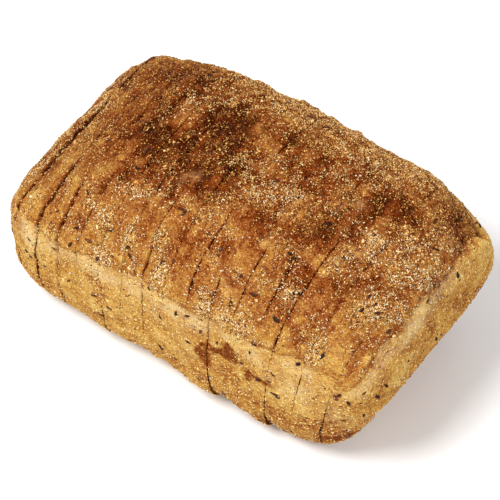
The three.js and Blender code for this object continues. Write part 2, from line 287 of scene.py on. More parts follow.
def band_place(piece, x, share):
    """The smooth form's place at x, a share of the way from the front foot to the back foot."""
    s = np.linspace(0, 3, 1201)
    y, z = ring_point(np.full_like(s, x), s)
    y, z = slip(piece, *swell(x, y, z))
    length = path_length(y, z)
    at = np.interp(share * length[-1], length, s)
    return np.array([x, np.interp(at, s, y), np.interp(at, s, z)])


def end_place(n, hand):
    """The place of grain n on an end face: the left one for -1, the right one for 1."""
    u, v = even_pair(n)
    y = END_FACE_WIDTH * HALF_WIDTH * (2 * u - 1)
    z = END_FOOT_CLEAR + (END_FACE_HEIGHT * LOAF_HEIGHT - END_FOOT_CLEAR) * v
    x = np.linspace(HALF_LENGTH - 30, HALF_LENGTH, 600) * hand
    fits = inside(x, np.full_like(x, y), np.full_like(x, z))
    return np.array([x[fits][-1], y, z])


def seed_places():
    """Where the solids have linseeds, with the numbers that set their size and turn, and where
    they have knobs: bands over every piece, and both end faces."""
    seeds, knobs = [], []
    n = 1
    for piece in range(PIECES):
        heel = piece in (0, PIECES - 1)
        low, high = cut_x(piece) + CUT_GAP / 2, cut_x(piece + 1) - CUT_GAP / 2
        if piece == 0:
            low = -HEEL_BAND_REACH * HALF_LENGTH
        elif heel:
            high = HEEL_BAND_REACH * HALF_LENGTH
        lean = 0 if heel else (cut_lean(piece) + cut_lean(piece + 1)) / 2

        def on_band(n, length):
            """The place of grain n on this piece's band, clear of both cuts."""
            u, v = even_pair(n)
            room = max(0, (high - low) / 2 - length * (1 + SIZE_SPREAD) / 2 - CLEAR_OF_CUT)
            x = (low + high) / 2 + room * (2 * u - 1)
            share = BAND_FOOT_CLEAR + (1 - 2 * BAND_FOOT_CLEAR) * v
            level = band_place(piece, x, share)[2]
            return band_place(piece, x + lean * (level - CUT_LEVEL), share)

        on_it = math.floor(SEEDS_PER_CENTIMETRE * THICKNESS[piece] / 10 + 0.5)
        seeds += [(i, on_band(i, LINSEED_LENGTH)) for i in range(n, n + on_it)]
        n += on_it
        if heel:
            hand = -1 if piece == 0 else 1
            seeds += [(i, end_place(i, hand)) for i in range(n, n + SEEDS_ON_AN_END)]
            n += SEEDS_ON_AN_END
        elif THICKNESS[piece] > KNOB_LENGTH * (1 + SIZE_SPREAD) + 2 * CLEAR_OF_CUT:
            knobs.append(on_band(n, KNOB_LENGTH))
            n += 1
    numbers, places = zip(*seeds)
    return np.array(places), np.array(numbers), knobs


SEED_PLACES, SEED_NUMBERS, KNOB_PLACES = seed_places()


# ---------------- places on the crust
# Where the browned crown ends on the side: its height at stations along the loaf, and on the
# right end from the front corner to the back one.
RIM_ALONG = (
    (-104, 64), (-61, 69.5), (-38, 73.5), (-11, 78), (17, 76.5), (33, 79.5), (54, 80), (68, 82.5),
    (83, 81), (90, 76),
)
RIM_RIGHT_END = (
    (-60, 74), (-48, 82.5), (-36, 89.5), (-15, 92.5), (10, 92), (35, 88), (43, 84.5), (49, 77),
    (60, 74),
)
END_BLEND = (88, 96)
BACK_RIM = 80
LEFT_RIM = 57

# Patches on the crown, as x, y, radius along, radius across and strength.
DARK_PATCHES = (
    (-17, 13, 14, 10, 0.42), (-13, -18, 12, 8, 0.29), (-38, -6, 17, 9, 0.30),
    (46, -14, 10, 7, 0.26), (67, 19, 12, 8, 0.24), (14, 22, 16, 9, 0.14), (-62, 10, 12, 16, 0.14),
    (20, -22, 12, 6, 0.14), (88, 40, 8, 14, 0.18), (-3, -26, 6, 3, 0.14), (-66, 36, 22, 14, 0.16),
    (44, 6, 16, 10, 0.10), (54, -28, 10, 7, 0.03), (75, -31, 6, 6, 0.10), (57, -54, 9, 6, 0.04),
    (88, 0, 10, 12, -0.05), (-70, 4, 16, 20, 0.08), (-52, -22, 16, 12, 0.12),
    (-2, -46, 9, 6, 0.11), (80, -42, 7, 5, -0.06),
)
PALE_PATCHES = (
    (-15, -19, 4, 2.6, 0.22), (-19, -23, 2, 4, 0.15), (53, 10, 3, 2.5, 0.26),
    (66, -11, 3.5, 2.5, 0.26), (30, -30, 3, 2, 0.22), (24, -51, 5, 3, 0.12), (47, 2, 2, 3, 0.14),
    (82, -48, 6, 4, 0.08), (74, -55, 6, 3, 0.12),
)
SMOOTH_PATCHES = (
    (-33, -24, 9, 5), (-11, -43, 12, 7), (24, -37, 9, 7), (61, -34, 8, 9), (8, -54, 16, 6),
    (48, -50, 9, 5), (-50, -30, 7, 4), (-13, -22, 9, 4), (78, -44, 8, 7), (68, 17, 7, 4),
    (-40, -52, 9, 6),
)
GRITTY_PATCHES = (
    (5, -35, 8, 5), (39, -41, 5, 5), (42, -29, 6, 4), (20, -8, 22, 9), (-45, -33, 16, 7),
    (81, 12, 11, 14), (10, 44, 60, 14), (52, 38, 36, 12), (95, -14, 6, 16), (72, -28, 6, 7),
    (84, -34, 5, 9), (2, -30, 4, 11), (-6, -30, 3, 4), (38, -28.5, 4, 3),
)
# Lifted clumps of grits and seeds, as x, y, radius and height.
CLUMPS = (
    (-42, -50, 3.6, 1.0), (-39, -60, 3.2, 1.0), (-27, -52, 2.8, 0.8), (-7, -58, 3.6, 1.1),
    (-12, -49, 3.2, 0.9), (80.6, -32, 3.8, 1.2), (85, -25.5, 3.4, 1.1), (72, -53, 4.0, 1.2),
    (51, -42.6, 3.4, 1.2), (38, -59, 3.6, 1.1), (17.5, -58, 2.8, 0.8), (62, -23.4, 3.0, 0.9),
    (66, -1, 3.2, 0.9), (84, -10, 3.0, 0.8), (-3, -25, 2.6, 0.8), (29, -57, 2.8, 0.9),
    (-54, -46, 3.0, 1.0), (42, -15, 3.4, 0.8), (-97, -33, 3.2, 1.4), (-99, -10, 3.0, 1.3),
    (-92, 20, 3.4, 1.2), (-70, 50, 3.2, 1.1), (-30, 54, 3.6, 1.2), (24, 56, 3.0, 1.1),
    (66, 55, 3.4, 1.2),
)
CLUMP_LEVEL = 60
# Scorched smears low on the front side, and one painted shade along the right heel's foot, as x,
# z, radius along, radius up and strength.
SCORCHES_AND_FOOT_SHADE = (
    (18.6, 52, 3.6, 5.2, 1.7), (26, 57.5, 6.6, 2.6, 2.15), (33.5, 62.5, 4.2, 5.6, 2.65),
    # The smear at x 86, z 25 on the next line is painted shade where the foot curves under.
    (43, 53, 3.4, 2.8, 1.3), (50, 57.5, 6.6, 1.9, 1.4), (86, 25, 9, 6, 1.3),
    (21, 45, 2.8, 6, 0.8), (45, 44, 2.5, 5, 0.5),
)
# Cream wrinkles and pale spots low on the front side, in the same form.
CREAM_SPOTS = (
    (-79, 56, 5, 9, 0.8), (-57, 66, 8, 5, 0.8), (-40, 68, 8, 5, 0.7), (-22, 66, 7, 7, 0.6),
    (5, 74, 8, 5, 0.9), (17, 74, 7, 6, 0.8), (43, 73, 5, 6, 0.4), (62, 64, 7, 7, 0.9),
    (73, 63, 6, 9, 0.8), (88, 52, 7, 8, 0.7), (12, 50, 9, 10, 0.3), (-8, 58, 5, 7, 0.5),
)
# Where the crest of the right end is palest, as y, reach along it and strength.
CREST_SPOTS = ((-12, 11, 1.0), (-46, 9, 0.75), (10, 12, 0.55), (-28, 9, 0.5))
# Linseeds that stand out most, as x and y on the crown.
CROWN_SEEDS = (
    (-11, -36), (15, 14), (-51, 41), (-20, 12.5), (-46, -14), (-57, -43), (47.7, -7.7),
    (66, -0.6), (85, 45), (62, -23), (52, -42), (56, -40), (42, -29), (81, -32), (84, -26),
    (-8, -55), (-27, -55), (29, -54.5),
)
# The same on the front side, as x and z.
FRONT_SEEDS = (
    (10, 72.9), (44, 73.8), (56, 66), (59.7, 51), (87.6, 71), (46, 80), (-79, 59), (-62.7, 66),
    (-65.6, 61.7), (70.5, 91), (76, 88), (-54.7, 74), (-39.7, 75), (-24, 59.7), (-41, 29),
    (-4, 60.7), (11.5, 54.6), (48.5, 58), (54.4, 60), (67, 79.7),
)
# The same on the right end, as y and z.
END_SEEDS = (
    (-24.5, 71.5), (-40, 70), (-52.6, 67), (-45, 66), (-51.5, 57), (-55, 48.5), (-56, 67),
    (22, 68.6), (18.7, 84.7), (4, 84.2), (-3.5, 90), (-3.8, 65),
)


def heights_along(pairs, value):
    """Straight steps between the named stations, softened by the unevenness added later."""
    stations, heights = zip(*pairs)
    return np.interp(value, stations, heights)


def piece_at(p):
    """Number of the piece that points lie on, counted by the cut planes they are past."""
    number = 0
    for k in range(1, PIECES):
        number = number + (p[..., 0] > cut_x(k) + cut_lean(k) * (p[..., 2] - CUT_LEVEL))
    return number


def own_number(p, seed):
    """A number from -1 to 1 that belongs to the piece that points lie on."""
    return lattice(piece_at(p), 0, 0, seed)


def above_rim(p):
    """How far points lie above the line where the browned crown ends, in millimetres. The
    line steps a little at every cut."""
    x, y, z = np.moveaxis(p, -1, 0)
    front = heights_along(RIM_ALONG, x)
    side = front + (BACK_RIM - front) * smooth(-20, 20, y)
    end = heights_along(RIM_RIGHT_END, y)
    rim = side + (end - side) * smooth(END_BLEND[0], END_BLEND[1], x)
    rim = rim + (LEFT_RIM - rim) * smooth(-62, -92, x) * smooth(-52, -30, y)
    return z - rim - RIM_STEP_AT_CUTS * own_number(p, 25) + lumps(p, *RIM_WOBBLE)


def patch_sum(p, patches, first=0, second=1):
    """Sum of strength * e^-(d/r)^2 over patches in the plane of the two named axes."""
    total = 0
    for along, across, reach_along, reach_across, *strength in patches:
        u = (p[..., first] - along) / reach_along
        v = (p[..., second] - across) / reach_across
        total = total + (strength[0] if strength else 1) * np.exp(-(u * u + v * v))
    return total


def clump_sum(p, spread=1.0, even=False):
    """Sum of height * e^-(d^2 / (spread * radius^2)) over the clumps, or of 1 for height."""
    total = 0
    for x, y, radius, height in CLUMPS:
        gap = ((p[..., 0] - x) ** 2 + (p[..., 1] - y) ** 2) / (spread * radius * radius)
        total = total + (1 if even else height) * np.exp(-gap)
    return total * (p[..., 2] > CLUMP_LEVEL)


def clump_of(p):
    """1 at the middle of every clump, falling off to 0 around it."""
    return clump_sum(p, 1.3, even=True)


def on_front(p):
    """1 on the front side, 0 on the back."""
    return smooth(-20, -35, p[..., 1])


def on_right_end(normal):
    """1 where the crust faces the right end, 0 where it faces another way."""
    return smooth(0.45, 0.85, normal[..., 0])


# ---------------- relief
# Kinds of unevenness: strength, size of the lumps (or their size along each axis), and seed.
DENTS = (0.55, 24, 1)
LUMPS = (0.5, 8, 2)
PIMPLES = (0.36, 3.4, 3)
GRAIN = (0.16, 1.5, 4)
STREAKS = (0.28, (2.8, 17, 17), 5)
BLISTERS = (1, 5.2, 6)
PITS = (1, 2.1, 7)
PIT_DEPTH = 0.35
ROUGH_MOUNDS = (0.5, 1.2, 8)
RIM_WOBBLE = ((1.4, 13, 21), (1.3, 4.5, 22), (0.8, 1.8, 23))
RIM_STEP_AT_CUTS = 1.3
FRINGE = (1, 10, 37)
FRINGE_REACH = 3
SIDE_TONES = ((0.05, 19, 31), (0.08, 6, 32))
END_TONES = ((0.11, 8, 38), (0.10, 3.4, 39))
TOP_TONES = ((1, 21, 33), (1, 7, 34), (1, (2.6, 12, 12), 35))
PALE_EDGES = (0.8, 1.6, 36)
CREAM_BREAKS = ((1, 8, 41), (0.7, 2.6, 42))
CREAM_STRAY = (4, 12, 47)
CREST_STREAKS = (0.4, (3, 9, 3), 43)
SPOT_EDGES = (0.5, 3.5, 44)
SCORCH_AND_SHADE_EDGES = ((0.6, 2.6, 45), (0.5, 1.1, 46))
BACK_EDGE = (7, 16, 51)
COVER_BREAKS = ((1.1, 7, 52), (1.6, 2.6, 53))
HEAP_BREAKS = (1.1, 2.4, 54)
SIDE_SPOTS = (1, 5, 55)
ISLANDS = ((1, 6, 56), (0.6, 2.2, 57))
CUT_BITS = (1, 12, 60)
CUT_WIDTHS = ((0.5, 5, 61), (0.5, 1.9, 68))
CUT_WAVERS = ((0.3, 11, 65), (0.16, 3.5, 66))
EDGE_WEAR = ((1, 11, 62), (0.6, 3.5, 63))
EDGE_SHADE_LUMPS = (1, 8, 69)
NEAR_STAND = (1, 19, 64)
FAR_STAND = (1, 19, 67)
# How brown the side and the crown are before their patches.
SIDE_BAKE = 0.28
TOP_BAKE = 0.60
PALE_SHARE = 0.6
ROLL = 0.5
RIM_STEP = 0.45
END_CREASE = 0.8
END_LOBE = 1.3
INWARD = 0.2
MOUND_SHARE = 0.8
STAND = 0.5
HEEL_STAND = 0.9
END_NOTCH = 0.9
LEFT_DRAWN_IN = 2.4
BACK_DRAWN_IN = 1.6
CORNER_DRAWN_IN = 4.2
COLLAR = 0.91
HOLLOW = 0.86
LAST_WORN_CUT = 3


def relief(p, normal):
    """How far the crust stands out of the smooth form, in millimetres: dents, lumps, pimples
    and grain of falling size, streaks that follow the slices on the crown, a roll and a step
    at the rim, a crease, a notch and a lobe along the rim of the right end, and a mound under
    every clump and knob."""
    y, z = p[..., 1], p[..., 2]
    above = above_rim(p)
    crown = smooth(-1, 2, above)
    end = on_right_end(normal)
    out = lumps(p, DENTS, LUMPS, PIMPLES) + lumps(p, GRAIN) * (1 + 0.8 * (1 - crown))
    out = out + crown * lumps(p, STREAKS)
    out = out + smooth(0.35, 0.9, lumps(p, BLISTERS)) * (0.35 + 0.3 * crown)
    out = out - smooth(0.5, 0.9, lumps(p, PITS)) * PIT_DEPTH
    out = out + ROLL * hump(above, 4, 4) * (1 - end) + RIM_STEP * crown
    out = out - END_CREASE * end * hump(above, -1, 1.3) * smooth(-8, 20, y)
    lobe = smooth(0.8, -1.6, above) * smooth(-34, -6, above)
    back_end = smooth(0.2, 0.7, normal[..., 0]) * smooth(12, 42, y)
    out = out + back_end * (END_LOBE * lobe - END_NOTCH * hump(above, 2.5, 3))
    mounds = clump_sum(p)
    for knob in KNOB_PLACES:
        gap = np.sum((p - knob) ** 2, axis=-1) / KNOB_RADIUS ** 2
        mounds = mounds + KNOB_HEIGHT * np.exp(-gap)
    mounds = mounds * (1 + lumps(p, ROUGH_MOUNDS)) * MOUND_SHARE
    return (out - INWARD + mounds) * smooth(0.5, 5, z)


def drawn_in(p, normal):
    """How far the crown draws back above its rim at the left end, the back and the corner
    between the back and the right end, in millimetres."""
    x, y, z = np.moveaxis(p, -1, 0)
    left = smooth(0.3, 0.85, -normal[..., 0]) * smooth(50, 62, z)
    back = smooth(0.3, 0.85, normal[..., 1]) * smooth(60, 76, z)
    corner = smooth(72, 96, x) * smooth(18, 44, y) * smooth(-3, 2, above_rim(p))
    return LEFT_DRAWN_IN * left + BACK_DRAWN_IN * back + CORNER_DRAWN_IN * corner


# ---------------- how the crust is baked
def pale_patch_of(p):
    """The pale patches of the crown, with ragged edges."""
    return patch_sum(p, PALE_PATCHES) * np.clip(1 + lumps(p, PALE_EDGES), 0, 2)


def bake_and_shade_of(p, normal, raised):
    """How brown the crust is: 0 pale gold to 1 darkest, from the rim upwards, with dark and pale
    patches, a painted shade that differs per slice, and painted shade that darkens it in hollows."""
    x, y, z = np.moveaxis(p, -1, 0)
    above = above_rim(p)
    fringe = FRINGE_REACH * smooth(0.1, 0.6, lumps(p, FRINGE)) * (1 - on_right_end(normal))
    crown = smooth(-0.7 - fringe, 0.9, above)

    left = smooth(-85, -100, x) * smooth(15, 45, z)
    end = smooth(0.3, 0.9, normal[..., 0])
    side = SIDE_BAKE + lumps(p, *SIDE_TONES) + 0.06 * smooth(40, 8, z)
    side = side + 0.11 * smooth(0, 50, x) * smooth(52, 38, z) + 0.10 * left
    side = side + end * (0.06 + lumps(p, *END_TONES) + 0.16 * smooth(10, 35, y))

    back = smooth(-40, 0, y)
    broad, middling, streaked = (lumps(p, kind) for kind in TOP_TONES)
    top = TOP_BAKE + 0.10 * smooth(86, 106, z) + 0.09 * back
    top = top + (0.05 + 0.06 * back) * broad + (0.04 + 0.08 * back) * middling
    # The own_number term is painted shade: each slice a little lighter or darker, as its tilt
    # turns it to the light.
    top = top + (0.07 + 0.03 * back) * streaked + 0.03 * own_number(p, 26)
    top = top + 0.06 * smooth(10, -30, x) * smooth(-50, -30, y) + 0.05 * smooth(-82, -98, x)
    top = top + 0.06 * smooth(20, 3, above) * smooth(-20, -45, y) * smooth(-75, -50, x)
    top = top + (z > 70) * (patch_sum(p, DARK_PATCHES) - PALE_SHARE * pale_patch_of(p))
    # Painted shade: the raised term darkens the crust in its hollows.
    return np.clip(side + (top - side) * crown - 0.28 * raised, 0.02, 1)


def cream_of(p, normal):
    """How much pale stretched crust shows: a broken band under the rim, the palest parts of
    the right end's crest, spots on the front side, and the crown's pale patches."""
    above = above_rim(p)
    end = on_right_end(normal)
    broken = smooth(-0.5, 0.5, lumps(p, *CREAM_BREAKS))
    band = hump(above + lumps(p, CREAM_STRAY), -5, 5.5) * (0.12 + 0.88 * broken) * 0.75 * (1 - end)
    crest = 0.05 + sum(strength * hump(p[..., 1], y, reach) for y, reach, strength in CREST_SPOTS)
    crest = end * hump(above, -4.5, 4.2) * crest * (0.8 + lumps(p, CREST_STREAKS))
    spots = patch_sum(p, CREAM_SPOTS, 0, 2) * on_front(p) * (0.55 + lumps(p, SPOT_EDGES))
    below_rim = (band + crest + spots) * smooth(1, -0.8, above)
    on_crown = PALE_SHARE * pale_patch_of(p) * smooth(1, 4, above)
    return np.clip(below_rim + on_crown, 0, 1) * (1 - scorch_and_foot_shade_of(p))


def scorch_and_foot_shade_of(p):
    """Where the side is scorched, and the painted shade along the right heel's foot: the named
    smears, with ragged edges.
    """
    ragged = 1 + lumps(p, *SCORCH_AND_SHADE_EDGES)
    return np.clip((patch_sum(p, SCORCHES_AND_FOOT_SHADE, 0, 2) * on_front(p) * ragged - 0.24) / 0.65, 0, 1)


def dark_patch_of(p):
    """1 inside the dark patches of the crown, falling off to 0 outside them."""
    return np.clip(3 * patch_sum(p, DARK_PATCHES), 0, 1)


def grit_of(p):
    """How thickly barley grits lie: a broken cover on the top and back, islands on the lower
    crown, with heaps and bare patches, and almost none below the rim."""
    x, y, z = np.moveaxis(p, -1, 0)
    crown = smooth(-1, 1.6, above_rim(p))
    back = smooth(-42, 0, y + lumps(p, BACK_EDGE))
    top = 0.04 + 0.6 * back * np.clip(0.42 + lumps(p, *COVER_BREAKS), 0.03, 2.2)
    top = top + 0.9 * (1 - 0.6 * back) * smooth(0.3, 0.8, lumps(p, *ISLANDS))
    top = top + 0.05 * smooth(-18, -60, x) * smooth(10, -20, y)
    heaps = np.clip(patch_sum(p, GRITTY_PATCHES), 0, 1.2)
    bare = np.clip(patch_sum(p, SMOOTH_PATCHES), 0, 1)
    top = (top + 0.7 * heaps * np.clip(0.6 + lumps(p, HEAP_BREAKS), 0, 2)) * (1 - 0.85 * bare)
    top = top * (1 - 0.7 * dark_patch_of(p)) * (1 - np.clip(3 * pale_patch_of(p), 0, 0.9))
    side = 0.035 + 0.05 * smooth(0.2, 0.8, lumps(p, SIDE_SPOTS))
    return np.clip((z > 54) * (top + 1.4 * clump_of(p)) * crown, 0, 2.5) + side


# ---------------- pieces of the crust
WIDTHS_APART = 31.0
WAVERS_APART = 57.0
SHADES_APART = 43.0
SIDES_APART = 9
CLOSED_WIDTH = 0.02
OPENING = 0.29
WORN_OPENING = 0.36
# How far the painted shade along a cut reaches in, and how dark it is, for most cuts and the worn
# ones.
SHADE = (0.6, 0.12)
WORN_SHADE = (1.3, 0.26)
# Painted shade on the rounded edges of cuts through brown crust.
WORN_EDGE_SHADE = 0.20
CRUMB_COLLAR_BAKE = 0.22
PIECES_APART = 97.0
HALVINGS = 26
LONGEST_RAY = 130.0
LEAST_TILT = 0.01
OPENING_FADES = 2.0
WAVER_FADES = 8.0
WORN_STAND = 1.7
HEEL_STAND_REACH = 6


def even_ring(x):
    """RING_POINTS values of s round the form at x, spaced by length, wider on the base."""
    s = np.linspace(0, 4, 4001)
    y, z = ring_point(np.full_like(s, x), s)
    length = path_length(y, z, np.where(s[1:] > 3, BASE_SHARE, 1.0))
    return np.interp(np.linspace(0, length[-1], RING_POINTS, endpoint=False), length, s)


def across_steps(length):
    """Distances from one cut face to the other: close together near both edges."""
    inner = EDGE_STEPS[-1]
    count = max(2, round((length - 2 * inner) / CRUST_STEP))
    middle = np.linspace(inner, length - inner, count + 1)[1:-1]
    edge = np.array(EDGE_STEPS)
    return np.concatenate([edge, middle, (length - edge)[::-1]])


def way_round(x, y, z):
    """The value of s that ring_point has for points of the form at x, y, z, above the base."""
    share = np.clip(np.abs(y) / (HALF_WIDTH * plan_share(x, HALF_LENGTH) + TINY), 0, 1)
    crown = 1 + np.arccos(np.clip(-np.sign(y) * share ** (CROWN_POWER / 2), -1, 1)) / math.pi
    side = np.where(y < 0, z, 3 * BELLY_HEIGHT - z) / BELLY_HEIGHT
    return np.where(z > BELLY_HEIGHT, crown, side)


def cut_noise(k, apart, y, z):
    """Points for the unevenness along cut k, a named distance apart for every cut."""
    return np.stack([np.full_like(y, apart * k), y, z], -1)


def cut_opening(k, y, z):
    """Width of the open cut k at y and z: its named stretches, a little of every cut here and
    there, and more of that on the back and along the foot."""
    p = cut_noise(k, WIDTHS_APART, y, z)
    width = np.maximum(0.8 + lumps(p, *CUT_WIDTHS), 0.1)
    s = way_round(cut_x(k), y, z)
    some = smooth(0.1, 0.8, lumps(p, CUT_BITS)) * (0.12 + 0.3 * smooth(1.5, 1.9, s))
    opening = np.where(0 < k < PIECES, some + 0.2 * smooth(0.25, 0.1, s), 0)
    for cut, start, stop, amount in OPEN_STRETCHES:
        if cut == k:
            here = smooth(start - 0.05, start + 0.03, s) * smooth(stop + 0.05, stop - 0.03, s)
            opening = np.maximum(opening, amount * here * width)
    return CLOSED_WIDTH + (WORN_OPENING if k <= LAST_WORN_CUT else OPENING) * opening


def cut_waver(k, y, z):
    """How far cut k strays from its plane at y and z, alike for the pieces on both sides."""
    return lumps(cut_noise(k, WAVERS_APART, y, z), *CUT_WAVERS)


def edge_radius(k, side, y, z):
    """Radius that the crust is worn to along the edge of cut k."""
    p = cut_noise(k, WIDTHS_APART, y, z) + np.array([SIDES_APART * side, 0, 0])
    worn = 0.15 + 0.75 * smooth(-0.4, 0.8, lumps(p, *EDGE_WEAR))
    if k <= LAST_WORN_CUT:
        worn = worn + (1.6 - 0.2 * worn) * smooth(54, 64, z)
    else:
        worn = worn * (1 + 0.7 * smooth(66, 84, z))
    return worn * (0.25 + 0.75 * np.clip(cut_opening(k, y, z) / 0.18, 0, 1))


def edge_shade(k, distance, y, z):
    """Painted shade along the edge of cut k: how much darker the crust is, most where it stands
    open.
    """
    p = cut_noise(k, SHADES_APART, y, z)
    faint = 0.07 * np.clip(0.5 + lumps(p, EDGE_SHADE_LUMPS), 0, 1) * smooth(66, 76, z)
    reach, depth = WORN_SHADE if k <= LAST_WORN_CUT else SHADE
    return (faint + depth * np.clip(cut_opening(k, y, z) / 0.3, 0, 1)) * hump(distance, 0, reach)


def ring_quads(grid):
    """Quads between the neighbouring closed rings of a grid of vertex numbers or points."""
    after = np.roll(grid, -1, axis=1)
    corners = [grid[:-1], grid[1:], after[1:], after[:-1]]
    return np.stack(corners, 2).reshape(-1, 4, *grid.shape[2:])


def grid_normals(points, flip):
    """Unit normals of a grid whose second axis is a closed ring."""
    along = np.gradient(points, axis=0)
    around = np.roll(points, -1, axis=1) - np.roll(points, 1, axis=1)
    normal = np.cross(along, around)
    normal = normal / np.maximum(np.linalg.norm(normal, axis=-1, keepdims=True), TINY)
    return -normal if flip else normal


def slice_grid(piece):
    """The smooth crust of a slice as a grid of stations by ring points, with the distance of
    every point from both cut faces."""
    s = even_ring((cut_x(piece) + cut_x(piece + 1)) / 2)
    steps = across_steps(THICKNESS[piece])
    share = (steps / THICKNESS[piece])[:, None]
    lean = cut_lean(piece) + (cut_lean(piece + 1) - cut_lean(piece)) * share
    at = cut_x(piece) + THICKNESS[piece] * share
    x = at + 0 * s
    near = share * THICKNESS[piece] + 0 * s
    far = THICKNESS[piece] - near
    for _ in range(3):
        y, z = ring_point(x, s + 0 * share)
        y, z = slip(piece, *swell(x, y, z), near, far)
        open_near = cut_opening(piece, y, z) / 2
        open_far = cut_opening(piece + 1, y, z) / 2
        stray = cut_waver(piece, y, z) * (1 - share) + cut_waver(piece + 1, y, z) * share
        x = at + lean * (z - CUT_LEVEL) + stray + open_near * (1 - share) - open_far * share
    return np.stack([x, y, z], -1), near, far


def heel_grid(piece):
    """The smooth crust of a heel: rays from a point on its cut, turned from the cut face to
    straight out of the end, each as long as the form allows (found by halving), and the
    points of each path of rays spaced by length. The last station is the end's middle."""
    side = -1 if piece == 0 else 1
    k = 1 if piece == 0 else piece
    lean = cut_lean(k)
    root = math.hypot(1, lean)
    outward = np.array([side, 0, -side * lean]) / root
    upward = np.array([lean, 0, 1]) / root
    centre = np.array([cut_x(k) + lean * (HEEL_CENTRE_HEIGHT - CUT_LEVEL), 0, HEEL_CENTRE_HEIGHT])

    s = even_ring(cut_x(k))
    x = np.full_like(s, cut_x(k))
    for _ in range(4):
        y, z = ring_point(x, s)
        x = cut_x(k) + lean * (z - CUT_LEVEL)
    rim = np.stack([x, y, z], -1) - centre
    turn = np.arctan2(rim @ upward, rim[:, 1])

    def reach(tilt):
        """Length of the rays at this tilt from the end's middle, by halving."""
        level = np.cos(turn)[:, None] * np.array([0, 1.0, 0]) + np.sin(turn)[:, None] * upward
        ray = np.cos(tilt)[..., None] * outward + np.sin(tilt)[..., None] * level
        low, high = np.zeros(tilt.shape), np.full(tilt.shape, LONGEST_RAY)
        for _ in range(HALVINGS):
            middle = (low + high) / 2
            q = centre + middle[..., None] * ray
            fits = inside(q[..., 0], q[..., 1], q[..., 2])
            low, high = np.where(fits, middle, low), np.where(fits, high, middle)
        return centre + low[..., None] * ray

    tilt = np.linspace(math.pi / 2, LEAST_TILT, PATH_SAMPLES)[:, None] + 0 * turn
    steps = np.linalg.norm(np.diff(reach(tilt), axis=0), axis=-1)
    length = np.concatenate([np.zeros((1, RING_POINTS)), np.cumsum(steps, axis=0)])
    longest, inner = length[-1].max(), EDGE_STEPS[-1]
    rest = np.linspace(inner, longest, round((longest - inner) / CRUST_STEP) + 1)[1:]
    wanted = np.concatenate([EDGE_STEPS, rest])[:, None]
    share = np.clip((wanted - inner) / (longest - inner), 0, 1)
    wanted = np.where(wanted <= inner, wanted, inner + share * (length[-1] - inner))
    tilt = np.stack([np.interp(*rays) for rays in zip(wanted.T, length.T, tilt.T)], 1)
    x, y, z = np.moveaxis(reach(tilt), -1, 0)
    level = z
    away = np.full_like(wanted, FAR)
    near, far = (wanted, away) if side > 0 else (away, wanted)
    y, z = slip(piece, *swell(x, y, z), near, far)
    opening = cut_opening(k, y, z) / 2 * np.exp(-wanted / OPENING_FADES)
    stray = (cut_waver(k, y, z) + lean * (z - level)) * np.exp(-wanted / WAVER_FADES)
    x = x + stray + side * opening
    return np.stack([x, y, z], -1), near, far


